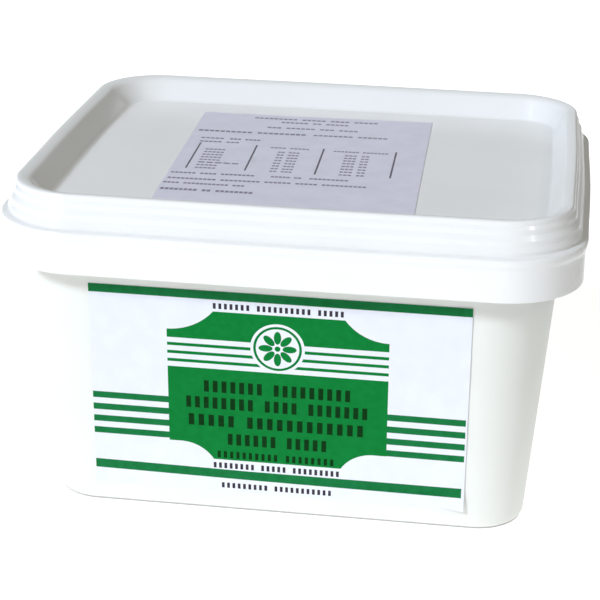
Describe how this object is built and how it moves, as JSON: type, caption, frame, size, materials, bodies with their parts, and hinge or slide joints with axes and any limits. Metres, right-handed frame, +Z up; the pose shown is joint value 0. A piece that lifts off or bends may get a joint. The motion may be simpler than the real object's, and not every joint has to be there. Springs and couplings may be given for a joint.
{
  "type": "shut lidded plastic tub of white brined cheese",
  "caption": "Rectangular white plastic food tub with tapered walls, a shut press-on lid with a raised rim round a sunken panel, a paper front label and a paper sheet on the lid.",
  "frame": {"origin": "middle of the flat foot that the tub stands on", "axes": "+X along the tub's length to the right of the labelled front, -Y out of the labelled front, +Z up"},
  "size_m": [0.181, 0.1572, 0.1053],
  "materials": {
    "tub_plastic": "smooth white polypropylene, satin gloss",
    "lid_plastic": "smooth white polypropylene, glossy",
    "label_paper": "coated white paper printed in green",
    "sheet_paper": "uncoated pale grey paper with fine dark print"
  },
  "bodies": {
    "root": {"tub": "tub_plastic", "lid": "lid_plastic", "front_label": "label_paper", "lid_sheet": "sheet_paper"}
  },
  "joints": []
}
